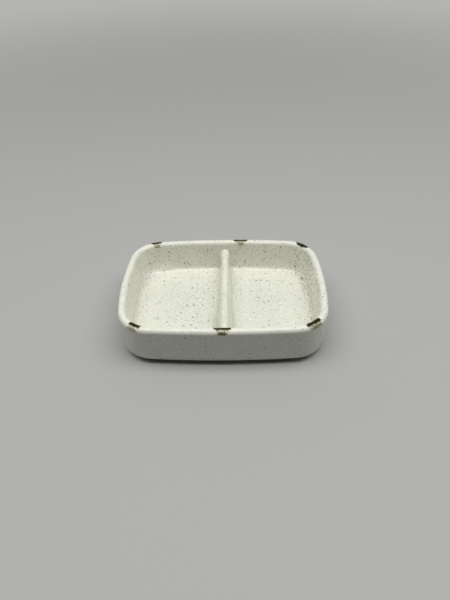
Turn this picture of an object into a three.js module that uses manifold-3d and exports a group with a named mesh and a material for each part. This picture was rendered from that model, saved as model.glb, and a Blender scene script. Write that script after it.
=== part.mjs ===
// A small divided dish of speckled, glazed stoneware, for sauces, salt or pickles.
// Lengths are millimetres and angles degrees. +Z is up, +X runs along the dish and +Y points to its back.
// The origin lies on the table, under the middle of the dish.
import * as THREE from 'three';
import { mergeVertices } from 'three/addons/utils/BufferGeometryUtils.js';
import Module from 'manifold-3d';

const wasm = await Module();
wasm.setup();

// Plan: a rectangle with round corners, whose four sides swell outwards
const LENGTH = 108;
const WIDTH = 76;
const CORNER_RADIUS = 17.5;
const END_BOW = 4.3; // how far a short end swells past the straight line between the corners
const SIDE_BOW = 2.9; // the same for a long side

// Shell: floor and wall, pressed as one tray
const HEIGHT = 24.8; // from the table to the crest of the rim
const RIM_THICKNESS = 4.2; // the rim is a full round across this
const OUTER_LEAN = 1; // how far the outer wall draws in downwards
const INNER_LEAN = 7; // how far the wells narrow downwards
const EDGE_RADIUS = 2; // round between the outer wall and the underside
const FLOOR_THICKNESS = 4.3;
const FLOOR_FILLET = 2.6; // round between the inner wall and the floor

// Foot ring: what the dish stands on
const FOOT_HEIGHT = 3;
const FOOT_WIDTH = 4.5;
const FOOT_STEP = 3.6; // from the edge of the flat underside in to the ring
const FOOT_ROUND = 0.8; // round on the two edges that meet the table

// Divider: a low bar across the middle, which parts the two wells
const DIVIDER_RISE = 11.6; // from the floor to its crest
const CREST_THICKNESS = 4.2; // the crest is a full round across this
const DIVIDER_LEAN = 11; // how far each flank spreads downwards
const DIVIDER_FILLET = 2.6; // round between a flank and the floor
const DIVIDER_OFFSET = 0.8; // how far right of the middle it was luted
const LUTED_GAP = 0.3; // clearance to the shell that it is luted to

// Rim marks: dabs of iron pigment brushed across the rim
const MARK_THICKNESS = 0.3;
const MARK_GAP = 0.15; // clearance to the rim
const MARK_WRAP = 66; // how far a mark reaches down each side of the rim, from the crest
const MARK_TAPER = 0.45; // share of that reach which is lost at its two ends
const BACK_RIGHT_LENGTH = 8.6; // along the rim
const BACK_MIDDLE_LENGTH = 8.1;
const BACK_LEFT_LENGTH = 6.8;
const FRONT_LEFT_LENGTH = 6.8;
const FRONT_MIDDLE_LENGTH = 8.1;
const FRONT_RIGHT_LENGTH = 9.2;
const MARKS = [
  // around: share of the way round the outline, from the middle of the right end towards the back
  { name: 'back_right', around: 0.1055, length: BACK_RIGHT_LENGTH },
  { name: 'back_middle', around: 0.22, length: BACK_MIDDLE_LENGTH },
  { name: 'back_left', around: 0.37, length: BACK_LEFT_LENGTH },
  { name: 'front_left', around: 0.6165, length: FRONT_LEFT_LENGTH },
  { name: 'front_middle', around: 0.75, length: FRONT_MIDDLE_LENGTH },
  { name: 'front_right', around: 0.889, length: FRONT_RIGHT_LENGTH },
];

// How finely round shapes are cut into flats
const PLAN_STEPS = 8; // along each arc of the plan
const SECTION_STEPS = 4; // half the steps along each arc of a section
const FOOT_STEPS = 2; // half the steps along each round of the foot
const MARK_STEPS = 6; // along a mark

// Finishes
const GLAZE = { color: 0xe0e2d4, roughness: 0.15, metalness: 0 };
const BARE_CLAY = { color: 0xb9a68a, roughness: 0.85, metalness: 0 };
const IRON = { color: 0x35301f, roughness: 0.25, metalness: 0 };

const QUARTER = Math.PI / 2;
const radians = THREE.MathUtils.degToRad;
const lerp = THREE.MathUtils.lerp;

// Plan of the dish
// It is eight arcs, each tangent to the next: an end, a corner, a side and a corner, and the same again.

function bowRadius(halfChord, bow) {
  return (halfChord ** 2 + bow ** 2) / (2 * bow);
}

// Centre of the corner circle, which touches the arc of the side and the arc of the end from inside
function cornerCentre(side, end) {
  const sideReach = side.radius - CORNER_RADIUS;
  const endReach = end.radius - CORNER_RADIUS;
  const apart = side.centre.distanceTo(end.centre);
  const along = (sideReach ** 2 - endReach ** 2 + apart ** 2) / (2 * apart);
  const across = Math.sqrt(sideReach ** 2 - along ** 2);
  const towards = end.centre.clone().sub(side.centre).divideScalar(apart);
  const outwards = new THREE.Vector2(towards.y, -towards.x);
  return side.centre.clone().addScaledVector(towards, along).addScaledVector(outwards, across);
}

function planArcs() {
  const sideRadius = bowRadius(LENGTH / 2, SIDE_BOW);
  const endRadius = bowRadius(WIDTH / 2, END_BOW);
  const side = { radius: sideRadius, centre: new THREE.Vector2(0, WIDTH / 2 - sideRadius) };
  const end = { radius: endRadius, centre: new THREE.Vector2(LENGTH / 2 - endRadius, 0) };
  const corner = cornerCentre(side, end);
  const sideHalf = Math.atan2(corner.x, corner.y - side.centre.y);
  const endHalf = Math.atan2(corner.y, corner.x - end.centre.x);
  const arcs = [];
  for (const start of [0, Math.PI]) {
    const sign = Math.cos(start); // the second half is the first one turned half way round
    const back = start + QUARTER;
    const add = (x, y, radius, from, to) =>
      arcs.push({ centre: new THREE.Vector2(sign * x, sign * y), radius, from, to });
    add(end.centre.x, 0, endRadius, start - endHalf, start + endHalf);
    add(corner.x, corner.y, CORNER_RADIUS, start + endHalf, back - sideHalf);
    add(0, side.centre.y, sideRadius, back - sideHalf, back + sideHalf);
    add(-corner.x, corner.y, CORNER_RADIUS, back + sideHalf, back + QUARTER - endHalf);
  }
  return arcs;
}

const arcs = planArcs();
const arcLength = (arc) => arc.radius * (arc.to - arc.from);
const perimeter = arcs.reduce((sum, arc) => sum + arcLength(arc), 0);

// A station is one place on the plan. It carries a section, whose points are an inset and a height.
function station(arc, angle) {
  return ({ x: inset, y: height }) =>
    new THREE.Vector3(
      arc.centre.x + (arc.radius - inset) * Math.cos(angle),
      arc.centre.y + (arc.radius - inset) * Math.sin(angle),
      height,
    );
}

function stationsAllRound() {
  const share = (step) => step / PLAN_STEPS;
  return arcs.flatMap((arc) =>
    Array.from({ length: PLAN_STEPS }, (_, step) => station(arc, lerp(arc.from, arc.to, share(step)))),
  );
}

// The station at a distance along the outline from the middle of the right end
function stationAt(distance) {
  let left = THREE.MathUtils.euclideanModulo(distance + arcLength(arcs[0]) / 2, perimeter);
  for (const arc of arcs) {
    if (left <= arcLength(arc)) return station(arc, arc.from + left / arc.radius);
    left -= arcLength(arc);
  }
  return station(arcs[0], arcs[0].from);
}

// A closed surface over a grid of points, with a fan over each cap, which is a ring of grid places
function closedSurface(grid, { rowsWrap = false, columnsWrap = false, caps = [] }) {
  const points = grid.flat();
  const columns = grid[0].length;
  const place = (row, column) => (row % grid.length) * columns + (column % columns);
  const triangles = [];
  for (let row = 0; row < grid.length - (rowsWrap ? 0 : 1); row++) {
    for (let column = 0; column < columns - (columnsWrap ? 0 : 1); column++) {
      const [a, b] = [place(row, column), place(row, column + 1)];
      const [c, d] = [place(row + 1, column + 1), place(row + 1, column)];
      triangles.push(a, b, c, a, c, d);
    }
  }
  for (const cap of caps) {
    const ring = cap.map(([row, column]) => place(row, column));
    const middle = new THREE.Vector3();
    ring.forEach((corner) => middle.addScaledVector(points[corner], 1 / ring.length));
    points.push(middle);
    ring.forEach((corner, i) => triangles.push(points.length - 1, corner, ring[(i + 1) % ring.length]));
  }
  return new THREE.BufferGeometry().setFromPoints(points).setIndex(triangles);
}

// Centre of a round at the foot of a leaning face. The face touches a circle above it, and the centre
// lies at the offset from the circle's centre, square to the face, and at the given height.
function roundCentre(circle, offset, lean, height) {
  const tilt = radians(lean);
  const drop = (circle.y + offset * Math.sin(tilt) - height) / Math.cos(tilt);
  return new THREE.Vector2(circle.x + offset * Math.cos(tilt) + drop * Math.sin(tilt), height);
}

// Shell
// Heights are from its underside, and insets from the outermost line of the plan.

const rimRadius = RIM_THICKNESS / 2;
const rimCentre = new THREE.Vector2(rimRadius, HEIGHT - FOOT_HEIGHT - rimRadius);
const edgeCentre = roundCentre(rimCentre, EDGE_RADIUS - rimRadius, OUTER_LEAN, EDGE_RADIUS);
const filletCentre = roundCentre(
  rimCentre,
  rimRadius + FLOOR_FILLET,
  INNER_LEAN,
  FLOOR_THICKNESS + FLOOR_FILLET,
);

// The section runs up the outer wall, over the rim and down into the well, where clearance is added.
function shellSection(clearance) {
  const section = new THREE.Path();
  const outer = Math.PI + radians(OUTER_LEAN);
  const inner = radians(INNER_LEAN);
  section.absarc(edgeCentre.x, edgeCentre.y, EDGE_RADIUS, 3 * QUARTER, outer, true);
  section.absarc(rimCentre.x, rimCentre.y, rimRadius + clearance, outer, inner, true);
  section.absarc(filletCentre.x, filletCentre.y, FLOOR_FILLET - clearance, Math.PI + inner, 3 * QUARTER);
  return section.getPoints(SECTION_STEPS);
}

function shellGeometry(clearance = 0) {
  const stations = stationsAllRound();
  const grid = shellSection(clearance).map((point) => stations.map((place) => place(point)));
  const ring = (row) => stations.map((_, column) => [row, column]);
  const caps = [ring(0).reverse(), ring(grid.length - 1)];
  return closedSurface(grid, { columnsWrap: true, caps });
}

// Foot ring
// It stands on the table, and its level top meets the underside of the shell.

function footGeometry() {
  const outer = edgeCentre.x + FOOT_STEP;
  const inner = outer + FOOT_WIDTH;
  const section = new THREE.Path();
  section.absarc(outer + FOOT_ROUND, FOOT_ROUND, FOOT_ROUND, 3 * QUARTER, Math.PI, true);
  section.lineTo(outer, FOOT_HEIGHT);
  section.lineTo(inner, FOOT_HEIGHT);
  section.absarc(inner - FOOT_ROUND, FOOT_ROUND, FOOT_ROUND, 0, -QUARTER, true);
  const stations = stationsAllRound();
  const grid = section.getPoints(FOOT_STEPS).map((point) => stations.map((place) => place(point)));
  return closedSurface(grid, { rowsWrap: true, columnsWrap: true });
}

// Divider
// A bar of one section runs from wall to wall, and the shell with its clearance is cut away from it.

function solidOf(geometry) {
  const bare = geometry.clone();
  bare.deleteAttribute('normal');
  bare.deleteAttribute('uv');
  const merged = mergeVertices(bare);
  const vertProperties = merged.attributes.position.array;
  const triVerts = new Uint32Array(merged.index.array);
  return new wasm.Manifold(new wasm.Mesh({ numProp: 3, vertProperties, triVerts }));
}

function geometryOf(solid) {
  const { vertProperties, triVerts } = solid.getMesh();
  return new THREE.BufferGeometry()
    .setAttribute('position', new THREE.BufferAttribute(vertProperties, 3))
    .setIndex(new THREE.BufferAttribute(triVerts, 1));
}

function dividerSection() {
  const crestRadius = CREST_THICKNESS / 2;
  const crest = new THREE.Vector2(0, FLOOR_THICKNESS + DIVIDER_RISE - crestRadius);
  const reach = crestRadius + DIVIDER_FILLET;
  const fillet = roundCentre(crest, reach, DIVIDER_LEAN, FLOOR_THICKNESS + DIVIDER_FILLET);
  const lean = radians(DIVIDER_LEAN);
  const insideFloor = FLOOR_THICKNESS / 2; // where the bar stops before the cut
  const section = new THREE.Shape();
  section.moveTo(fillet.x, insideFloor);
  section.absarc(fillet.x, fillet.y, DIVIDER_FILLET, 3 * QUARTER, Math.PI + lean, true);
  section.absarc(crest.x, crest.y, crestRadius, lean, Math.PI - lean);
  section.absarc(-fillet.x, fillet.y, DIVIDER_FILLET, -lean, -QUARTER, true);
  section.lineTo(-fillet.x, insideFloor);
  return section;
}

function dividerGeometry() {
  const depth = WIDTH - RIM_THICKNESS; // its two ends stop inside the wall before the cut
  const bar = new THREE.ExtrudeGeometry(dividerSection(), {
    depth,
    bevelEnabled: false,
    curveSegments: SECTION_STEPS,
  });
  bar.rotateX(QUARTER);
  bar.translate(DIVIDER_OFFSET, depth / 2, 0);
  return geometryOf(solidOf(bar).subtract(solidOf(shellGeometry(LUTED_GAP))));
}

// Rim marks
// Each is a thin patch that follows the round of the rim along a stretch of the outline.

function markSection(reach) {
  const section = new THREE.Path();
  const inside = rimRadius + MARK_GAP;
  const [outer, inner] = [QUARTER + reach, QUARTER - reach];
  section.absarc(rimCentre.x, rimCentre.y, inside + MARK_THICKNESS, outer, inner, true);
  section.absarc(rimCentre.x, rimCentre.y, inside, inner, outer);
  return section.getPoints(SECTION_STEPS);
}

function markGeometry({ around, length }) {
  const columns = Array.from({ length: MARK_STEPS + 1 }, (_, step) => {
    const share = step / MARK_STEPS;
    const place = stationAt(around * perimeter + (share - 0.5) * length);
    const width = 1 - MARK_TAPER * (1 - Math.sin(Math.PI * share));
    return markSection(radians(MARK_WRAP) * width).map(place);
  });
  const grid = columns[0].map((_, row) => columns.map((column) => column[row]));
  const ring = (column) => grid.map((_, row) => [row, column]);
  return closedSurface(grid, { rowsWrap: true, caps: [ring(0), ring(MARK_STEPS).reverse()] });
}

// The dish
// The shell and what is on it stand on the foot ring.

function piece(name, geometry, finish) {
  const mesh = new THREE.Mesh(geometry, new THREE.MeshStandardMaterial(finish));
  mesh.name = name;
  return mesh;
}

const dish = new THREE.Group();
dish.add(piece('foot_ring', footGeometry(), BARE_CLAY));

const body = new THREE.Group();
body.position.z = FOOT_HEIGHT;
body.add(piece('dish_shell', shellGeometry(), GLAZE));
body.add(piece('divider', dividerGeometry(), GLAZE));
for (const mark of MARKS) {
  body.add(piece(`rim_mark_${mark.name}`, markGeometry(mark), IRON));
}
dish.add(body);

export default dish;
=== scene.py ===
import math

import bpy
import numpy as np
from mathutils import Matrix, Vector, noise


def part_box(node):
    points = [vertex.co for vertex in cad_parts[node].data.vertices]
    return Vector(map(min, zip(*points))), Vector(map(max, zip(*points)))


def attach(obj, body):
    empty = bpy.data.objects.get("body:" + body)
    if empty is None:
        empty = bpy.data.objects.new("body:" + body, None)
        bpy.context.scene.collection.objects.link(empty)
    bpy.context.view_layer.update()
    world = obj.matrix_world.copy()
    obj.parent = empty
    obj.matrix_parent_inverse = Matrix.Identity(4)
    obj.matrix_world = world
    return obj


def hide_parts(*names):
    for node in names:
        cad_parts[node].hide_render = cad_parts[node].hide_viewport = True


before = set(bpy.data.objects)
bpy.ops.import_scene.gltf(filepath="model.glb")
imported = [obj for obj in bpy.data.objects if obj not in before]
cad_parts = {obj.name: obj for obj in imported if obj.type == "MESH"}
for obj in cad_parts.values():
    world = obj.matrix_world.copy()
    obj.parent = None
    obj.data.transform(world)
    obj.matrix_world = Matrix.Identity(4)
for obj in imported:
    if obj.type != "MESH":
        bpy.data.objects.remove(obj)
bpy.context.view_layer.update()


# Shell: floor, bowed walls and full-round rim, pressed as one tray from pale stoneware clay.
# It is dipped in a glossy ivory glaze, thin on the rim and walls and thick over most of the floor. The
# floor is painted lighter round its edge and towards its back, and the inner wall lighter at its foot:
# painted light that lifts the shade near the walls.
# Iron in the clay burns through the glaze as small dark specks.
MM = 0.001
QUARTER = math.pi / 2
shell_low, shell_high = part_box("dish_shell")
CORNER_RADIUS = 17.5 * MM
END_BOW = 4.3 * MM  # how far a short end swells past the straight line between its corners
SIDE_BOW = 2.9 * MM  # the same for a long side
RIM_RADIUS = 2.1 * MM
OUTER_LEAN = math.radians(1)
INNER_LEAN = math.radians(7)
EDGE_RADIUS = 2.0 * MM  # between the outer wall and the underside
FLOOR_FILLET = 2.6 * MM  # between the inner wall and the floor
LEFT_FILLET = 7 * MM  # the same in the two left corners
RIGHT_FILLET = 4.6 * MM  # and in the two right ones
FILLET_HELD = 2.85 * MM  # a corner keeps its fillet so far along the wall, either way
FILLET_GONE = 21.85 * MM  # and here the wall's own fillet takes over
FLOOR_THICKNESS = 4.3 * MM
floor_top = shell_low.z + FLOOR_THICKNESS
ARC_POINTS = 48
SECTION_POINTS = 150
SHELL_COLUMNS = 360
FLOOR_RINGS = np.linspace(0.98, 0.05, 34)  # from the wall to the middle of the floor
UNEVENNESS = 0.14 * MM  # of a surface shaped by hand
UNEVENNESS_SPACING = 24 * MM
EVEN_BELOW = 6 * MM  # it grows from nothing at the underside to full at this height
UNEVENNESS_SEED = 1  # so that every run gives the same dish

# Thickness of the glaze, from 0 where it is thin to 1 where it has gathered. On the shell's floor and at
# the foot of its inner wall, lower values are also painted light, and on the divider higher values are also
# painted shade
UNDER_GLAZE = 0.35
WALL_GLAZE = 0.15
FLOOR_GLAZE = 0.68
RIM_THINNING = 0.15  # how much thinner it lies on the rim
WALL_FOOT_PAINTED_LIGHT = 0.1  # painted light, lighter at the foot of the inner wall
FLOOR_EDGE_PAINTED_LIGHT = 0.6  # painted light, lighter round the edge of the floor
FLOOR_BACK_PAINTED_LIGHT = 0.3  # and painted light, lighter at the back of the floor
EDGE_POWER = 5  # a higher power keeps the painted light closer to the floor's edge
FLOOR_BACK = (5 * MM, 25 * MM)  # where the back starts and where it counts in full

# Share of the specks that show through it
OUTER_SPECKS = 0.2
INNER_SPECKS = 0.64
RIM_CLEARED = 0.12  # how much less shows on the rim
RIGHT_END_SPECKS = 0.75  # how much more on the inner wall of the right end
RIGHT_RIM_SHARE = 0.5  # how much of that on the rim above it
LEFT_WELL_SPECKS = 0.25  # how much more on the floor of the left well
RIGHT_END = (0.7, 0.82)  # places along the half length, where it starts and where it counts in full
LEFT_WELL = (0.1, -0.1)

# Colours of the glaze, and the sizes of what shows in it, in millimetres
THIN_GLAZE = (0.885, 0.882, 0.78, 1)
GATHERED_GLAZE = (0.747, 0.767, 0.667, 1)
CLAY_SHOWING = (1, 1, 0.955, 1)
CLOUDED_GLAZE = (0.95, 0.96, 0.94, 1)
MILKY_GLAZE = (0.87, 0.87, 0.86, 1)
# Pale spots painted into the colour, as painted glints on the glaze
PAINTED_GLINT = (0.94, 0.94, 0.91, 1)
SPECK = (0.05, 0.043, 0.026, 1)
SPECK_LAYERS = (
    {"spacing": 0.75, "radius": 0.2, "share": 1.0, "swelling": 1.3, "depth": 0.55},
    {"spacing": 1.2, "radius": 0.41, "share": 1.0, "swelling": 1.0, "depth": 1.0},
    {"spacing": 3.0, "radius": 0.68, "share": 0.9, "swelling": 0.0, "depth": 1.0},
)
SPECK_SIZES = (0.45, 1.2)  # smallest and largest, as shares of the radius
SPECK_DEPTHS = (0.35, 1.0)  # palest and darkest
SPECK_CORE = 0.45  # share of a speck inside its soft edge
SPECK_COVER = 0.92
WAVE_SIZE = 0.4  # of the waves in the edge of a speck
WAVE_DEPTH = 0.4
# Sizes of the painted glints
PAINTED_GLINT_SPOTS = {"Spacing": 1.9, "Radius": 0.6, "Share": 0.75}
CLOUD_SIZE = 9
CLOUD_DEPTH = 0.6
MILK_SIZE = 0.9
PEEL_SIZE = 1.6  # of the slight orange peel in its gloss
PEEL_HEIGHT = 0.02
SPECK_HEIGHT = 0.01
GLAZE_ROUGHNESS = (0.07, 0.15)
SPECK_ROUGHNESS = 0.2  # added on a speck
GLAZE_IOR = 1.52


def ease(value, start, end):
    """0 up to the start, 1 from the end on, and an eased step between them."""
    share = np.clip((value - start) / (end - start), 0, 1)
    return share * share * (3 - 2 * share)


def bow_radius(half_chord, bow):
    """Radius of an arc that swells so far past its chord."""
    return (half_chord**2 + bow**2) / (2 * bow)


side_radius = bow_radius(shell_high.x, SIDE_BOW)
end_radius = bow_radius(shell_high.y, END_BOW)


def outline_arcs():
    """The plan's eight arcs, each tangent to the next: centre x and y, radius, first and last angle."""
    side = Vector((0, shell_high.y - side_radius))
    end = Vector((shell_high.x - end_radius, 0))
    side_reach = side_radius - CORNER_RADIUS
    end_reach = end_radius - CORNER_RADIUS
    apart = (end - side).length
    towards = (end - side) / apart
    along = (side_reach**2 - end_reach**2 + apart**2) / (2 * apart)
    across = math.sqrt(side_reach**2 - along**2)
    corner = side + towards * along + Vector((towards.y, -towards.x)) * across
    side_half = math.atan2(corner.x, corner.y - side.y)
    end_half = math.atan2(corner.y, corner.x - end.x)
    arcs = []
    for start, turn in ((0, 1), (math.pi, -1)):
        back = start + QUARTER
        arcs += [
            (turn * end.x, 0, end_radius, start - end_half, start + end_half),
            (turn * corner.x, turn * corner.y, CORNER_RADIUS, start + end_half, back - side_half),
            (0, turn * side.y, side_radius, back - side_half, back + side_half),
            (-turn * corner.x, turn * corner.y, CORNER_RADIUS, back + side_half, back + QUARTER - end_half),
        ]
    return np.array(arcs)


arcs = outline_arcs()
arc_lengths = arcs[:, 2] * (arcs[:, 4] - arcs[:, 3])
outline_length = arc_lengths.sum()


def outline_at(distances):
    """Arc centre x and y, arc radius and facing angle, at distances along the outline.
    They count anticlockwise from the middle of the right end."""
    ends = np.cumsum(arc_lengths)
    along = np.mod(distances + arc_lengths[0] / 2, outline_length)
    found = np.minimum(np.searchsorted(ends, along, side="right"), len(arcs) - 1)
    x, y, radius, first, _ = arcs[found].T
    angle = first + (along - ends[found] + arc_lengths[found]) / radius
    return np.stack([x, y, radius, angle], axis=1)


def carry(section, places):
    """A grid of a section carried along the outline.
    It has a row for each point of the section, an inset and a height, and a column for each place."""
    inset, height = (column[:, None] for column in section.T)
    x, y, radius, angle = places.T
    reach = radius - inset
    level = np.broadcast_to(height, reach.shape)
    return np.stack([x + reach * np.cos(angle), y + reach * np.sin(angle), level], axis=-1)


def arc_line(centre, radius, first, last):
    """Points along an arc of a section."""
    return [
        (centre.x + radius * math.cos(angle), centre.y + radius * math.sin(angle))
        for angle in np.linspace(first, last, ARC_POINTS)
    ]


def evened(line, count):
    """The same line with that many points, evenly spaced."""
    line = np.array(line)
    run = np.append(0, np.cumsum(np.linalg.norm(np.diff(line, axis=0), axis=1)))
    even = np.linspace(0, run[-1], count)
    return np.stack([np.interp(even, run, column) for column in line.T], axis=1)


def round_centre(circle, offset, lean, height):
    """Centre of a round at the foot of a leaning face, which touches a circle above it.
    It lies at the offset from the circle's centre, square to the face, and at the given height."""
    drop = (circle.y + offset * math.sin(lean) - height) / math.cos(lean)
    return Vector((circle.x + offset * math.cos(lean) + drop * math.sin(lean), height))


def hand_shaped(grid, spacing=UNEVENNESS_SPACING):
    """The grid with the slight unevenness of a surface shaped by hand."""
    points = grid.reshape(-1, 3)
    shift = np.array([noise.noise_vector(Vector(point) / spacing) for point in points])
    share = ease(points[:, 2:], shell_low.z, shell_low.z + EVEN_BELOW)
    return (points + UNEVENNESS * share * shift).reshape(grid.shape)


def closed_mesh(name, grid, values=None, rows_wrap=False):
    """A smooth closed piece over a grid whose columns wrap round.
    A fan closes each end, unless the rows wrap too.
    The mesh keeps the values for the material, one at each grid point."""
    rows, columns = grid.shape[:2]
    points = grid.reshape(-1, 3)
    index = np.arange(rows * columns).reshape(rows, columns)
    here = index if rows_wrap else index[:-1]
    after = np.roll(index, -1, axis=0) if rows_wrap else index[1:]
    corners = [here, np.roll(here, -1, axis=1), np.roll(after, -1, axis=1), after]
    faces = np.stack(corners, axis=-1).reshape(-1, 4).tolist()
    rings = [] if rows_wrap else [index[0][::-1], index[-1]]
    for ring in rings:
        faces += [(len(points), a, b) for a, b in zip(ring.tolist(), np.roll(ring, -1).tolist())]
        points = np.vstack([points, points[ring].mean(axis=0)])
    mesh = bpy.data.meshes.new(name)
    mesh.from_pydata(points.tolist(), [], faces)
    mesh.shade_smooth()
    for label, value in (values or {}).items():
        value = np.broadcast_to(value, (rows, columns)).ravel()
        value = np.append(value, [value[ring].mean() for ring in rings])
        mesh.attributes.new(label, "FLOAT", "POINT").data.foreach_set("value", value.astype(np.float32))
    piece = bpy.data.objects.new(name, mesh)
    bpy.context.collection.objects.link(piece)
    return piece


wall_places = np.linspace(0, outline_length, SHELL_COLUMNS, endpoint=False)
around = outline_at(wall_places)
rim_centre = Vector((RIM_RADIUS, shell_high.z - RIM_RADIUS))
edge_centre = round_centre(rim_centre, EDGE_RADIUS - RIM_RADIUS, OUTER_LEAN, shell_low.z + EDGE_RADIUS)


def wall_section(fillet):
    """From the underside round the lower edge, up the wall, over the rim and down to the floor."""
    fillet_centre = round_centre(rim_centre, RIM_RADIUS + fillet, INNER_LEAN, floor_top + fillet)
    line = (
        arc_line(edge_centre, EDGE_RADIUS, 3 * QUARTER, math.pi + OUTER_LEAN)
        + arc_line(rim_centre, RIM_RADIUS, math.pi + OUTER_LEAN, INNER_LEAN)
        + arc_line(fillet_centre, fillet, math.pi + INNER_LEAN, 3 * QUARTER)
    )
    return evened(line, SECTION_POINTS)


shell_section = wall_section(FLOOR_FILLET)


def shell_grid():
    """The underside from its middle outwards, the wall and rim, and the floor back to its middle."""
    corner_middles = (np.cumsum(arc_lengths) - arc_lengths / 2 - arc_lengths[0] / 2)[1::2]
    apart = np.abs(wall_places[:, None] - corner_middles).min(axis=1)
    in_corner = ease(apart, FILLET_GONE, FILLET_HELD)[:, None]
    faces_left = (np.cos(around[:, 3]) < 0)[:, None]
    left, right = (carry(wall_section(fillet), around) for fillet in (LEFT_FILLET, RIGHT_FILLET))
    corners = np.where(faces_left, left, right)
    sides = carry(shell_section, around)
    walls = sides + in_corner * (corners - sides)
    level = np.ones_like(FLOOR_RINGS)
    shrink = np.stack([FLOOR_RINGS, FLOOR_RINGS, level], axis=-1)[:, None]
    return np.concatenate([(walls[0] * shrink)[::-1], walls, walls[-1] * shrink])


def tray_rows(under, wall, floor):
    """One value for each row of the tray's grid: on the underside, over the wall and on the floor."""
    under, floor = (np.broadcast_to(value, FLOOR_RINGS.shape) for value in (under, floor))
    return np.concatenate([under, wall, floor])[:, None]


def shell_values(grid):
    """How thick the glaze lies, with painted light at the foot of the inner wall, round the floor's edge
    and at its back, and what share of the specks shows through it.
    """
    inset, height = shell_section.T
    inside = ease(inset, RIM_RADIUS, 2 * RIM_RADIUS)
    crest = ease(height, rim_centre.y, shell_high.z)
    # The foot of the inner wall, painted lighter as painted light
    foot = inside * ease(height, floor_top + FLOOR_FILLET, floor_top)
    wall_glaze_and_light = WALL_GLAZE - RIM_THINNING * crest - WALL_FOOT_PAINTED_LIGHT * foot
    floor_glaze_and_light = FLOOR_GLAZE - FLOOR_EDGE_PAINTED_LIGHT * FLOOR_RINGS**EDGE_POWER
    wall_specks = OUTER_SPECKS + (INNER_SPECKS - OUTER_SPECKS) * inside - RIM_CLEARED * crest
    glaze = tray_rows(UNDER_GLAZE, wall_glaze_and_light, floor_glaze_and_light)
    specks = tray_rows(OUTER_SPECKS, wall_specks, INNER_SPECKS)
    on_wall = tray_rows(0, np.maximum(inside, RIGHT_RIM_SHARE * crest), 0)
    on_floor = tray_rows(0, np.zeros_like(inside), 1)
    along = grid[..., 0] / shell_high.x
    right_end = on_wall * ease(along, *RIGHT_END)
    left_well = on_floor * ease(along, *LEFT_WELL)
    # The back of the floor, painted lighter as painted light
    back = on_floor * ease(grid[..., 1], *FLOOR_BACK)
    return {
        "glaze": glaze - FLOOR_BACK_PAINTED_LIGHT * back,
        "specks": specks + RIGHT_END_SPECKS * right_end + LEFT_WELL_SPECKS * left_well,
    }


noise.seed_set(UNEVENNESS_SEED)
tray = shell_grid()
shell = closed_mesh("shell", hand_shaped(tray), shell_values(tray))


def add(tree, kind, sockets=(), **settings):
    """A shader node with its settings. Each socket gets a value, or a link from another node's output."""
    node = tree.nodes.new("ShaderNode" + kind)
    for name, value in settings.items():
        setattr(node, name, value)
    for name, value in dict(sockets).items():
        if isinstance(value, bpy.types.NodeSocket):
            tree.links.new(value, node.inputs[name])
        else:
            node.inputs[name].default_value = value
    return node


def work(tree, operation, *values):
    """The result of a sum on numbers."""
    return add(tree, "Math", enumerate(values), operation=operation).outputs[0]


def vector_work(tree, operation, sockets):
    """The result of a sum on places."""
    return add(tree, "VectorMath", sockets, operation=operation).outputs[0]


def between(tree, share, low, high):
    """The number that lies between low and high by a share."""
    return work(tree, "MULTIPLY_ADD", share, high - low, low)


def step(tree, value, low, high, to_low=0.0, to_high=1.0):
    """An eased step from to_low to to_high, as the value goes from low to high."""
    sockets = {"Value": value, "From Min": low, "From Max": high, "To Min": to_low, "To Max": to_high}
    return add(tree, "MapRange", sockets, interpolation_type="SMOOTHSTEP").outputs[0]


def tint(tree, share, under, over, way="MIX"):
    """A colour laid over another by a share."""
    sockets = {0: share, 6: under, 7: over}  # the node's colours share their names with its other sockets
    return add(tree, "Mix", sockets, data_type="RGBA", blend_type=way).outputs[2]


def grain(tree, place, size, detail=2.0):
    """Cloudy noise with features of about that size."""
    sockets = {"Vector": place, "Scale": 1 / size, "Detail": detail}
    return add(tree, "TexNoise", sockets).outputs


def kept_value(tree, label):
    """A value that the mesh keeps at each of its points."""
    return add(tree, "Attribute", attribute_name=label).outputs["Fac"]


def new_group(name, inputs, outputs):
    """A shader node group, the values that it is given and the sockets for what it gives back."""
    group = bpy.data.node_groups.new(name, "ShaderNodeTree")
    for way, sockets in (("INPUT", inputs), ("OUTPUT", outputs)):
        for label, kind in sockets.items():
            group.interface.new_socket(label, in_out=way, socket_type="NodeSocket" + kind)
    given = group.nodes.new("NodeGroupInput").outputs
    gives = group.nodes.new("NodeGroupOutput").inputs
    return group, given, gives


def new_finish(name):
    """A material with one shader, its node tree and the shader."""
    material = bpy.data.materials.new(name)
    material.use_nodes = True
    tree = material.node_tree
    return material, tree, tree.nodes["Principled BSDF"]


def place_in_mm(tree):
    """The place on the piece, in millimetres."""
    place = add(tree, "TexCoord").outputs["Object"]
    return vector_work(tree, "SCALE", {0: place, "Scale": 1 / MM})


def iron_specks():
    """Strewn specks, of which a share is kept. They differ in size and in depth of colour."""
    inputs = {"Place": "Vector", "Spacing": "Float", "Radius": "Float", "Share": "Float"}
    group, given, gives = new_group("Iron specks", inputs, {"Mask": "Float"})
    scaled = vector_work(group, "DIVIDE", {0: given["Place"], 1: given["Spacing"]})
    cells = add(group, "TexVoronoi", {"Vector": scaled, "Scale": 1.0})
    draw = add(group, "SeparateColor", {0: cells.outputs["Color"]}).outputs
    radius = work(group, "DIVIDE", given["Radius"], given["Spacing"])
    edge = work(group, "MULTIPLY", radius, between(group, draw["Green"], *SPECK_SIZES))
    core = work(group, "MULTIPLY", edge, SPECK_CORE)
    mask = step(group, cells.outputs["Distance"], edge, core)
    kept = work(group, "LESS_THAN", draw["Red"], given["Share"])
    depth = between(group, draw["Blue"], *SPECK_DEPTHS)
    result = work(group, "MULTIPLY", work(group, "MULTIPLY", mask, kept), depth)
    group.links.new(result, gives["Mask"])
    return group


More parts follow.
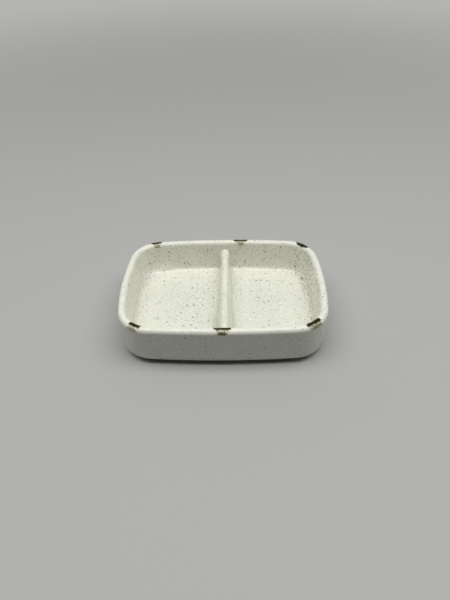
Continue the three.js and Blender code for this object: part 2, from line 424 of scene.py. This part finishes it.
def speckled_glaze(specks_group):
    """Ivory glaze over iron-bearing clay: pale where it is thin, greener where it has gathered.
    It yellows where the clay shows through, specks swell where they crowd, and pale spots stand in for
    glints as painted highlights."""
    group, given, gives = new_group(
        "Speckled glaze",
        {"Glaze": "Float", "Bare": "Float", "Specks": "Float"},
        {"Color": "Color", "Roughness": "Float", "Height": "Float"},
    )
    place = place_in_mm(group)
    waves = vector_work(group, "SCALE", {0: grain(group, place, WAVE_SIZE)["Color"], "Scale": WAVE_DEPTH})
    strayed = vector_work(group, "ADD", {0: place, 1: waves})
    crowding = work(group, "MAXIMUM", given["Specks"], 1.0)
    specks = 0.0
    for layer in SPECK_LAYERS:
        swollen = work(group, "POWER", crowding, layer["swelling"])
        sockets = {
            "Place": strayed,
            "Spacing": layer["spacing"],
            "Radius": work(group, "MULTIPLY", swollen, layer["radius"]),
            "Share": work(group, "MULTIPLY", given["Specks"], layer["share"]),
        }
        mask = add(group, "Group", sockets, node_tree=specks_group).outputs["Mask"]
        specks = work(group, "MAXIMUM", specks, work(group, "MULTIPLY", mask, layer["depth"]))
    # Pale spots painted into the colour, as painted glints
    glints = add(group, "Group", {"Place": strayed, **PAINTED_GLINT_SPOTS}, node_tree=specks_group).outputs["Mask"]
    cloud = grain(group, place, CLOUD_SIZE)["Fac"]
    clouds = step(group, cloud, 0.35, 0.7, to_high=CLOUD_DEPTH)
    milk = step(group, grain(group, place, MILK_SIZE)["Fac"], 0.3, 0.7)
    # The Glaze value also carries painted light on the shell's floor and wall foot, and painted shade on
    # the divider
    body = tint(group, given["Glaze"], THIN_GLAZE, GATHERED_GLAZE)
    warmed = tint(group, given["Bare"], body, CLAY_SHOWING, "MULTIPLY")
    clouded = tint(group, clouds, warmed, CLOUDED_GLAZE, "MULTIPLY")
    milky = tint(group, milk, clouded, MILKY_GLAZE, "MULTIPLY")
    glinted = tint(group, glints, milky, PAINTED_GLINT)
    colour = tint(group, work(group, "MULTIPLY", specks, SPECK_COVER), glinted, SPECK)
    group.links.new(colour, gives["Color"])
    sheen = between(group, cloud, *GLAZE_ROUGHNESS)
    group.links.new(work(group, "MULTIPLY_ADD", specks, SPECK_ROUGHNESS, sheen), gives["Roughness"])
    peel = work(group, "MULTIPLY", grain(group, place, PEEL_SIZE, detail=1.0)["Fac"], PEEL_HEIGHT)
    group.links.new(work(group, "MULTIPLY_ADD", specks, SPECK_HEIGHT, peel), gives["Height"])
    return group


glaze_group = speckled_glaze(iron_specks())


def glaze_on(tree):
    """The glaze as it lies on a piece."""
    sockets = {
        "Glaze": kept_value(tree, "glaze"),
        "Bare": kept_value(tree, "bare"),
        "Specks": kept_value(tree, "specks"),
    }
    return add(tree, "Group", sockets, node_tree=glaze_group).outputs


def raised(tree, height, shader):
    """Fine relief on the surface, from a height in millimetres."""
    relief = add(tree, "Bump", {"Height": height, "Distance": MM})
    tree.links.new(relief.outputs[0], shader.inputs["Normal"])


def glaze_finish():
    """The glaze alone, as on the shell and the divider."""
    material, tree, shader = new_finish("Speckled ivory glaze")
    glaze = glaze_on(tree)
    tree.links.new(glaze["Color"], shader.inputs["Base Color"])
    tree.links.new(glaze["Roughness"], shader.inputs["Roughness"])
    raised(tree, glaze["Height"], shader)
    shader.inputs["IOR"].default_value = GLAZE_IOR
    return material


glaze_coat = glaze_finish()
shell.data.materials.append(glaze_coat)
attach(shell, "root")
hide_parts("dish_shell")


# Divider: a low bar of the same clay, luted across the floor and smoothed in with a finger.
# Its crest is round and lower than the rim, and both ends flare up into the wall.
# It is glazed with the shell, and painted darker near its front end and along its foot there, most at the
# left, as painted shade.
divider_low, divider_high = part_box("divider")
DIVIDER_RISE = 11.6 * MM  # from the floor to its crest
CREST_RADIUS = 2.1 * MM
DIVIDER_LEAN = math.radians(11)
DIVIDER_FILLET = 2.6 * MM  # between a flank and the floor
END_RUN = 9 * MM  # how far from the wall its crest starts to rise
END_RISE = 4.0 * MM
END_WIDENING = 0.7  # how much of that rise goes sideways
END_ABOVE = 0.6 * DIVIDER_RISE  # an end flares in full so far over the floor
FOOT_SPREAD = 1.1 * MM  # how much further each flank's foot spreads near the front end
SPREAD_FROM = 4 * MM  # the spreading starts here, behind the middle
SPREAD_TO = -22 * MM
DIVIDER_ROOT = 1 * MM  # how deep its underside lies in the floor
LUTED = 0.05 * MM  # how deep its edges lie in the wall and the floor
END_DEPTH = 0.4 * MM  # how deep its ends lie in the wall
END_ROWS = 16
STRAIGHT_ROWS = 40
KNEAD_SPACING = 5 * MM  # of the dents that the fingers left
KNEAD_ABOVE = 4 * MM  # they reach full depth so far over the floor
BAR_GLAZE = 0.1
CREST_THINNING = 0.05
FRONT_PAINTED_SHADE = 0.5  # how much darker it is painted near the front end, as painted shade
FOOT_PAINTED_SHADE = 0.4  # painted shade on top of that along the foot there
LEFT_FOOT_PAINTED_SHADE = 0.8  # and painted shade on top of both at its left
BAR_SPECKS = 0.4
FOOT_SPECKS = 0.2  # how much more shows along the foot
LEFT_FRONT_SPECKS = 0.3  # and on the left flank near the front end
CREST_FROM = 0.6  # share of the rise from which it counts as crest
SHADE_BELOW = 0.8  # share of the rise below which the painted shade along the foot lies, near the front end
FOOT_BELOW = 0.3  # share below which more specks show
divider_middle = (divider_low.x + divider_high.x) / 2
crest_centre = Vector((divider_middle, floor_top + DIVIDER_RISE - CREST_RADIUS))
flank_fillet = round_centre(
    crest_centre, CREST_RADIUS + DIVIDER_FILLET, DIVIDER_LEAN, floor_top + DIVIDER_FILLET
)
half_ridge = (
    arc_line(crest_centre, CREST_RADIUS, QUARTER, DIVIDER_LEAN)
    + arc_line(flank_fillet, DIVIDER_FILLET, math.pi + DIVIDER_LEAN, 3 * QUARTER)
)
other_half = [(2 * divider_middle - x, z) for x, z in reversed(half_ridge)]
ridge = evened(other_half + half_ridge[1:], SECTION_POINTS // 2)


def inner_wall(x, z):
    """How far back the inner wall stands, at that place across the dish and that height."""
    inner = shell_section[shell_section[:, 0] > RIM_RADIUS][::-1]
    inset = np.interp(z, inner[:, 1], inner[:, 0])
    return shell_high.y - side_radius + np.sqrt((side_radius - inset) ** 2 - x**2)


def front_share(grid):
    """0 at the back of the bar, 1 near its front end."""
    return ease(grid[..., 1], SPREAD_FROM, SPREAD_TO)


def divider_grid():
    """One row for each cross-section from front to back.
    It runs over the bar and back through the floor."""
    x, z = ridge.T
    slope = np.gradient(ridge, axis=0)
    slope /= np.linalg.norm(slope, axis=1, keepdims=True)
    flare = ease(z, floor_top, floor_top + END_ABOVE)
    rows = []
    for turn in np.linspace(QUARTER, 0, END_ROWS):
        lift = END_RISE * flare * (1 - math.cos(turn))
        over_x, over_z = x - END_WIDENING * slope[:, 1] * lift, z + slope[:, 0] * lift
        reach = inner_wall(over_x, over_z) - END_RUN * flare * (1 - math.sin(turn))
        rows.append(np.stack([over_x, reach, over_z - LUTED], axis=-1))
    rows.insert(0, rows[0] + (0, END_DEPTH, 0))
    rows[1][:, 1] += LUTED
    straight = [rows[-1] * (1, share, 1) for share in np.linspace(0.98, 0, STRAIGHT_ROWS, endpoint=False)]
    half = np.stack(rows + straight)
    over = np.concatenate([half * (1, -1, 1), half[::-1]])
    below = 1 - np.clip((over[..., 2] - floor_top) / DIVIDER_RISE, 0, 1)
    over[..., 0] += FOOT_SPREAD * front_share(over) * below * np.sign(x - divider_middle)
    under = over[:, ::-1].copy()
    under[..., 2] = floor_top - DIVIDER_ROOT
    return np.concatenate([over, under], axis=1)


def divider_values(grid):
    """How thick the glaze lies, with painted shade near the front end and along the foot, most at the left,
    what share of the specks shows, and where the glaze bares the clay.
    """
    rise = (grid[..., 2] - floor_top) / DIVIDER_RISE
    crest = ease(rise, CREST_FROM, 1)
    below = ease(rise, SHADE_BELOW, 0)
    foot = ease(rise, FOOT_BELOW, 0)
    left = ease(grid[..., 0], divider_middle, divider_middle - CREST_RADIUS)
    front = front_share(grid)
    # Painted shade: darker near the front end, more along the foot there and most on the left flank
    gathered = FRONT_PAINTED_SHADE + (FOOT_PAINTED_SHADE + LEFT_FOOT_PAINTED_SHADE * left) * below
    return {
        "glaze": BAR_GLAZE - CREST_THINNING * crest + front * gathered,
        "specks": BAR_SPECKS + FOOT_SPECKS * foot + LEFT_FRONT_SPECKS * front * left,
        "bare": crest,
    }


bar = divider_grid()
dents = hand_shaped(bar, KNEAD_SPACING) - bar
kneaded = hand_shaped(bar) + dents * ease(bar[..., 2:], floor_top, floor_top + KNEAD_ABOVE)
divider = closed_mesh("divider_bar", kneaded, divider_values(bar))
divider.data.materials.append(glaze_coat)
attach(divider, "root")
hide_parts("divider")


# Foot ring: a low ring of bare clay, luted under the shell with a small round at its root on both sides.
# It is wiped clean of glaze, so that the dish doesn't stick in the kiln.
# The fired ring is sanded where it meets the table.
foot_low, foot_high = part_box("foot_ring")
FOOT_STEP = 3.6 * MM  # from the edge of the flat underside in to the ring
FOOT_WIDTH = 4.5 * MM
FOOT_ROUND = 0.8 * MM  # on the two edges that meet the table
FOOT_ROOT = 0.6 * MM  # round between the ring and the underside
BURIED = 0.3 * MM  # how deep its top lies in the shell
BARE_CLAY = (0.52, 0.41, 0.27, 1)
TOASTED_CLAY = (0.40, 0.24, 0.12, 1)
PALE_GRAIN = (0.66, 0.57, 0.43, 1)
TOAST_FROM = 0.6  # millimetres, as the next three: height where the flame's toasting starts
TOAST_WAVES = 6  # size of the waves in its edge
TOAST_STRAY = 0.7  # and how far they go up and down
GRIT_SIZE = 0.5
GRIT_COVER = 0.7
GRIT_HEIGHT = 0.12  # millimetres
CLAY_ROUGHNESS = (0.7, 0.95)


def foot_section():
    """From the table up the outer side, through the shell and down the inner side."""
    outer = edge_centre.x + FOOT_STEP
    inner = outer + FOOT_WIDTH
    low, top = foot_low.z + FOOT_ROUND, foot_high.z - FOOT_ROOT
    line = (
        arc_line(Vector((outer + FOOT_ROUND, low)), FOOT_ROUND, 3 * QUARTER, 2 * QUARTER)
        + arc_line(Vector((outer - FOOT_ROOT, top)), FOOT_ROOT, 0, QUARTER)
        + [(outer - FOOT_ROOT, foot_high.z + BURIED), (inner + FOOT_ROOT, foot_high.z + BURIED)]
        + arc_line(Vector((inner + FOOT_ROOT, top)), FOOT_ROOT, QUARTER, 2 * QUARTER)
        + arc_line(Vector((inner - FOOT_ROUND, low)), FOOT_ROUND, 0, -QUARTER)
    )
    return evened(line, SECTION_POINTS // 3)


def clay_finish():
    """Buff stoneware, toasted by the flame near the glaze, with paler grit in it."""
    material, tree, shader = new_finish("Bare stoneware clay")
    place = place_in_mm(tree)
    height = add(tree, "SeparateXYZ", {0: place}).outputs["Z"]
    uneven = between(tree, grain(tree, place, TOAST_WAVES)["Fac"], -TOAST_STRAY, TOAST_STRAY)
    toast = step(tree, work(tree, "ADD", height, uneven), TOAST_FROM, foot_high.z / MM)
    colour = tint(tree, toast, BARE_CLAY, TOASTED_CLAY)
    grit = grain(tree, place, GRIT_SIZE, detail=3.0)["Fac"]
    gritty = tint(tree, step(tree, grit, 0.55, 0.75, to_high=GRIT_COVER), colour, PALE_GRAIN)
    tree.links.new(gritty, shader.inputs["Base Color"])
    tree.links.new(step(tree, grit, 0.3, 0.7, *CLAY_ROUGHNESS), shader.inputs["Roughness"])
    raised(tree, work(tree, "MULTIPLY", grit, GRIT_HEIGHT), shader)
    return material


foot = closed_mesh("foot", carry(foot_section(), around), rows_wrap=True)
foot.data.materials.append(clay_finish())
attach(foot, "root")
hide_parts("foot_ring")


# Rim marks: six dabs of iron pigment, brushed over the rim before the glaze firing and fused into it.
# Most of the pigment stayed in a dark stroke along one side of the rim. Over the crest it broke up into a
# streaky khaki film, painted lighter than thin pigment alone as a painted highlight on the glossy crest,
# and a paler olive tail ran down the other side.
MARK_NODE = "rim_mark_"
PATCH_LENGTH = 1.3  # of the patch that carries a dab, in lengths of the dab
PATCH_REACH = 115  # degrees from the crest of the rim to the edge of the patch
PATCH_STEPS = 72
SEARCH_STEP = 0.1 * MM  # along the rim, to find a dab's place on it
MARK_LIFT = 0.06 * MM  # how far the thickest pigment stands proud
MARK_SINK = 0.05 * MM  # how deep its edges lie
MARK_ROOT = 0.3 * MM  # how deep its underside lies
PROUD_FROM = 0.714  # cover from which the pigment stands proud in full
SUNK = (0.2, -0.3)  # covers between which its edge sinks in
STROKE_LENGTH = 1.1  # in lengths of the dab
# The film is partly thin pigment and partly a painted highlight: a lighter band over the rim's crest
FILM_AND_HIGHLIGHT_LENGTH = 0.85
FILM_AND_HIGHLIGHT_MIDDLE = -38  # degrees, as the next two
FILM_AND_HIGHLIGHT_REACH = 46
TAIL_REACH = 34
COARSE_EDGE = 1.3 * MM  # spacing of the raggedness along its edges
COARSE_DEPTH = 0.35
FINE_EDGE = 0.4 * MM
FINE_DEPTH = 0.3
STREAK_SPACING = 0.35 * MM  # of the streaks in which the pigment ran over the rim
STREAK_DEPTH = 0.5
FILM_AND_HIGHLIGHT_STREAK_DEPTH = 2
STROKE_EDGE = 0.769  # how softly it ends, from 0, hard, to 1, soft all over
FILM_AND_HIGHLIGHT_EDGE = 0.909
TAIL_EDGE = 0.833
FRINGE = 0.9  # depth of the olive fringe round a stroke
FRINGE_WIDTH = 0.357  # how far it runs to either side of the stroke's edge
MARK_GLAZE = 0.1
# Khaki of the film, partly a painted highlight
KHAKI_FILM_AND_HIGHLIGHT = (0.395, 0.38, 0.25, 1)
OLIVE = (0.068, 0.064, 0.022, 1)
IRON_BLACK = (0.0175, 0.018, 0.0028, 1)
PIGMENT_GRAIN = 0.45  # millimetres
PIGMENT_RELIEF = 0.05  # millimetres
PIGMENT_ROUGHNESS = (0.25, 0.45)
PIGMENT_GLOSS = 0.04

# Lengths are in millimetres, the tail's in lengths of the dab, and its drift in half lengths.
# Angles are degrees from the crest of the rim, counted towards the side with the stroke.
MARKS = {
    "back_right": {
        "length": 8.6, "inside": False, "stroke_middle": 22, "stroke_reach": 62, "bluntness": 7, "bend": 16,
        "film_and_highlight": 0.2, "tail": 0.1, "tail_middle": -65, "tail_length": 0.4, "drift": 0, "streaks": 0,
    },
    "back_middle": {
        "length": 8.1, "inside": False, "stroke_middle": 28, "stroke_reach": 50, "bluntness": 7, "bend": 0,
        "film_and_highlight": 0.45, "tail": 0.6, "tail_middle": -65, "tail_length": 0.65, "drift": 0, "streaks": 0.3,
    },
    "back_left": {
        "length": 6.8, "inside": False, "stroke_middle": 27, "stroke_reach": 52, "bluntness": 8, "bend": 10,
        "film_and_highlight": 0.4, "tail": 0.55, "tail_middle": -65, "tail_length": 0.9, "drift": 0, "streaks": 0.3,
    },
    "front_left": {
        "length": 6.8, "inside": True, "stroke_middle": 24, "stroke_reach": 52, "bluntness": 4, "bend": -14,
        "film_and_highlight": 0.35, "tail": 0.62, "tail_middle": -60, "tail_length": 1.1, "drift": -0.12, "streaks": 0.3,
    },
    "front_middle": {
        "length": 8.1, "inside": True, "stroke_middle": 32, "stroke_reach": 52, "bluntness": 8, "bend": 0,
        "film_and_highlight": 0.5, "tail": 0.92, "tail_middle": -64, "tail_length": 0.8, "drift": 0, "streaks": 0.9,
    },
    "front_right": {
        "length": 9.2, "inside": True, "stroke_middle": 22, "stroke_reach": 54, "bluntness": 6, "bend": -16,
        "film_and_highlight": 0.45, "tail": 0.7, "tail_middle": -58, "tail_length": 1.05, "drift": 0.05, "streaks": 0.3,
    },
}
patch_along = np.linspace(-PATCH_LENGTH, PATCH_LENGTH, PATCH_STEPS)  # in half lengths of the dab
patch_across = np.linspace(-PATCH_REACH, PATCH_REACH, PATCH_STEPS)


def outline_distance(point):
    """How far along the outline the rim passes nearest to a point."""
    distances = np.arange(0, outline_length, SEARCH_STEP)
    rim = carry(np.array([[RIM_RADIUS, 0]]), outline_at(distances))[0]
    return distances[np.argmin(np.hypot(rim[:, 0] - point.x, rim[:, 1] - point.y))]


def blot(along, across, half_length, middle, reach, bluntness=2):
    """1 in the middle of a round or blunt blot, 0 at its edge and less outside."""
    return 1 - np.abs(along / half_length) ** bluntness - ((across - middle) / reach) ** 2


def mark_shape(mark, places):
    """Dark stroke, olive pigment and cover of a dab, over its length and the angle round the rim."""
    along, across = np.meshgrid(patch_along, patch_across, indexing="ij")
    spots = [Vector(place) for place in places.reshape(-1, 3)]
    coarse, fine = (
        np.array([noise.noise(spot / spacing) for spot in spots]) for spacing in (COARSE_EDGE, FINE_EDGE)
    )
    ragged = (COARSE_DEPTH * coarse + FINE_DEPTH * fine).reshape(along.shape)
    half_length = mark["length"] * MM / 2
    comb = [noise.noise(Vector((share * half_length / STREAK_SPACING, 0, 0))) for share in patch_along]
    streaks = mark["streaks"] * np.array(comb)[:, None]
    straight = across - mark["bend"] * (along**2 - 1 / 3)  # bent about its mean angle
    stroke = blot(
        along, straight, STROKE_LENGTH, mark["stroke_middle"], mark["stroke_reach"], mark["bluntness"]
    )
    # The lighter film over the crest, partly a painted highlight
    film_and_highlight = blot(along - mark["drift"] / 2, across, FILM_AND_HIGHLIGHT_LENGTH, FILM_AND_HIGHLIGHT_MIDDLE, FILM_AND_HIGHLIGHT_REACH)
    tail = blot(along - mark["drift"], across, mark["tail_length"], mark["tail_middle"], TAIL_REACH)
    stroke += ragged + STREAK_DEPTH * streaks
    film_and_highlight += ragged + FILM_AND_HIGHLIGHT_STREAK_DEPTH * streaks
    tail += ragged + STREAK_DEPTH * streaks
    fringe = FRINGE * ease(stroke, -FRINGE_WIDTH, FRINGE_WIDTH)
    olive = np.maximum(mark["tail"] * ease(tail, 0, TAIL_EDGE), mark["film_and_highlight"] * ease(film_and_highlight, 0, FILM_AND_HIGHLIGHT_EDGE))
    cover = np.maximum(np.maximum(stroke, tail), film_and_highlight)
    return ease(stroke, 0, STROKE_EDGE), np.maximum(olive, fringe), cover


def rim_grid(distances, angles, offset):
    """Points round the rim, at an offset from its surface. A positive angle is on the inner side."""
    turn = np.radians(angles)[None, :]
    reach = RIM_RADIUS + offset
    x, y, radius, angle = (column[:, None] for column in outline_at(distances).T)
    out = radius - rim_centre.x - reach * np.sin(turn)
    level = np.broadcast_to(rim_centre.y + reach * np.cos(turn), out.shape)
    return np.stack([x + out * np.cos(angle), y + out * np.sin(angle), level], axis=-1)


def mark_mesh(name, node, mark):
    """A patch bent over the rim, proud of the glaze under the dab and sunk into it elsewhere."""
    low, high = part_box(node)
    middle = outline_distance((low + high) / 2)
    distances = middle + patch_along * mark["length"] * MM / 2
    inwards = mark["inside"]
    angles = patch_across if inwards else -patch_across
    flat = np.zeros((PATCH_STEPS, PATCH_STEPS))
    stroke, olive, cover = mark_shape(mark, rim_grid(distances, angles, flat))
    lift = MARK_LIFT * ease(cover, 0, PROUD_FROM) - MARK_SINK * ease(cover, *SUNK)
    over = rim_grid(distances, angles, lift)
    under = rim_grid(distances, angles, flat - MARK_ROOT)
    over, stroke, olive = (part[:, ::-1] if inwards else part for part in (over, stroke, olive))
    under = under if inwards else under[:, ::-1]
    grid = np.concatenate([over, under], axis=1)
    values = {"stroke": stroke, "olive": olive, "glaze": flat + MARK_GLAZE, "specks": flat + OUTER_SPECKS}
    values = {label: np.concatenate([value, value], axis=1) for label, value in values.items()}
    return closed_mesh(name, hand_shaped(grid), values)


def pigment_finish():
    """Iron pigment in the glaze: khaki and olive where it is thin, the khaki partly a painted highlight on
    the rim's crest, almost black where it is thick.
    """
    material, tree, shader = new_finish("Iron pigment in glaze")
    glaze = glaze_on(tree)
    mottle = grain(tree, place_in_mm(tree), PIGMENT_GRAIN)["Fac"]
    broken = work(tree, "MULTIPLY", kept_value(tree, "olive"), step(tree, mottle, 0.25, 0.6, to_low=0.7))
    # The khaki film, partly a painted highlight over the rim's crest
    film_and_highlight = tint(tree, step(tree, broken, 0.0, 0.65), glaze["Color"], KHAKI_FILM_AND_HIGHLIGHT, "MULTIPLY")
    colour = tint(tree, step(tree, broken, 0.5, 1.0), film_and_highlight, OLIVE)
    stroked = tint(tree, kept_value(tree, "stroke"), colour, IRON_BLACK)
    tree.links.new(stroked, shader.inputs["Base Color"])
    tree.links.new(between(tree, mottle, *PIGMENT_ROUGHNESS), shader.inputs["Roughness"])
    raised(tree, work(tree, "MULTIPLY_ADD", mottle, PIGMENT_RELIEF, glaze["Height"]), shader)
    shader.inputs["Specular IOR Level"].default_value = PIGMENT_GLOSS
    return material


pigment = pigment_finish()
for node in sorted(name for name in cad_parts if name.startswith(MARK_NODE)):
    place = node.removeprefix(MARK_NODE)
    mark_piece = mark_mesh("pigment_dab_" + place, node, MARKS[place])
    mark_piece.data.materials.append(pigment)
    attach(mark_piece, "root")
    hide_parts(node)


# Studio: a wide pale floor, a broad soft lamp above the dish, and a soft surround that is dim in front.
# The floor looks pale to the camera and in reflections, but throws back less light than it shows.
FLOOR_RADIUS = 3
FLOOR_POINTS = 96
FADE_FROM = 0.2  # how far out the floor starts to fade into the backdrop
FADE_TO = 0.9
FLOOR_SEEN = (0.44, 0.44, 0.431, 1)
FLOOR_THROWN = (0.26, 0.26, 0.256, 1)
SURROUND_FRONT = (0.022, 0.022, 0.022, 1)
SURROUND_BACK = (0.418, 0.418, 0.415, 1)
SURROUND_TURN = (-0.7, 0.5)  # how far back a direction points, where the front ends and the back begins
BACKDROP_SEEN = (0.46, 0.46, 0.45, 1)
UNLIT = (0, 0, 0, 1)
LAMP_WIDTH = 1.5
LAMP_DEPTH = 0.5
LAMP_PLACE = Vector((0.05, -0.085, 0.85))
LAMP_POWER = 8.35


def seen(tree):
    """1 for the camera and for reflections, 0 for light that is thrown on."""
    path = add(tree, "LightPath").outputs
    return work(tree, "MAXIMUM", path["Is Camera Ray"], path["Is Glossy Ray"])


def studio_floor():
    """A round floor, which fades far out into the backdrop."""
    turns = np.linspace(0, math.tau, FLOOR_POINTS, endpoint=False)
    ring = [(FLOOR_RADIUS * math.cos(turn), FLOOR_RADIUS * math.sin(turn), 0) for turn in turns]
    mesh = bpy.data.meshes.new("studio_floor")
    mesh.from_pydata(ring, [], [range(len(ring))])
    material, tree, shader = new_finish("Pale floor")
    shows = seen(tree)
    outwards = add(tree, "VectorMath", {0: add(tree, "TexCoord").outputs["Object"]}, operation="LENGTH")
    far = step(tree, outwards.outputs["Value"], FADE_FROM, FADE_TO)
    colour = tint(tree, shows, FLOOR_THROWN, FLOOR_SEEN)
    backdrop = tint(tree, work(tree, "MULTIPLY", far, shows), UNLIT, BACKDROP_SEEN)
    tree.links.new(tint(tree, far, colour, UNLIT), shader.inputs["Base Color"])
    tree.links.new(backdrop, shader.inputs["Emission Color"])
    shader.inputs["Emission Strength"].default_value = 1
    shader.inputs["Specular IOR Level"].default_value = 0
    mesh.materials.append(material)
    floor = bpy.data.objects.new("studio_floor", mesh)
    bpy.context.collection.objects.link(floor)


def studio_light():
    """The soft lamp, and the surround that fills in its shadows."""
    lamp = bpy.data.lights.new("soft_lamp", "AREA")
    lamp.shape = "RECTANGLE"
    lamp.size = LAMP_WIDTH
    lamp.size_y = LAMP_DEPTH
    lamp.energy = LAMP_POWER
    stand = bpy.data.objects.new("soft_lamp", lamp)
    stand.location = LAMP_PLACE
    bpy.context.collection.objects.link(stand)
    world = bpy.data.worlds.new("studio")
    bpy.context.scene.world = world
    world.use_nodes = True
    tree = world.node_tree
    camera_ray = add(tree, "LightPath").outputs["Is Camera Ray"]
    backwards = add(tree, "SeparateXYZ", {0: add(tree, "TexCoord").outputs["Generated"]}).outputs["Y"]
    surround = tint(tree, step(tree, backwards, *SURROUND_TURN), SURROUND_FRONT, SURROUND_BACK)
    colour = tint(tree, camera_ray, surround, BACKDROP_SEEN)
    tree.links.new(colour, tree.nodes["Background"].inputs["Color"])


studio_floor()
studio_light()


# Camera: it stands above the table in front of the dish, upright and almost square to the long side.
# The pixels are those of the photograph's frame, 450 wide and 600 high.
AIM = Vector((0, 0, 11 * MM))
VIEW_DISTANCE = 265.65 * MM
VIEW_DOWN = math.radians(42.435)
VIEW_TURN = math.radians(1.361)
VIEW_ROLL = math.radians(-1.386)
IMAGE_HEIGHT = 600  # pixels, as the next three
FOCAL_LENGTH = 485
SHIFT_RIGHT = 1.48
SHIFT_DOWN = 0.37
camera_data = bpy.data.cameras.new("camera")
camera_data.sensor_fit = "VERTICAL"
camera_data.lens = camera_data.sensor_height * FOCAL_LENGTH / IMAGE_HEIGHT
camera_data.shift_x = SHIFT_RIGHT / IMAGE_HEIGHT
camera_data.shift_y = -SHIFT_DOWN / IMAGE_HEIGHT
camera = bpy.data.objects.new("camera", camera_data)
camera.matrix_world = (
    Matrix.Translation(AIM)
    @ Matrix.Rotation(VIEW_TURN, 4, "Z")
    @ Matrix.Rotation(QUARTER - VIEW_DOWN, 4, "X")
    @ Matrix.Rotation(VIEW_ROLL, 4, "Z")
    @ Matrix.Translation((0, 0, VIEW_DISTANCE))
)
bpy.context.collection.objects.link(camera)
bpy.context.scene.camera = camera
bpy.context.scene.view_settings.view_transform = "Standard"

bpy.context.view_layer.update()
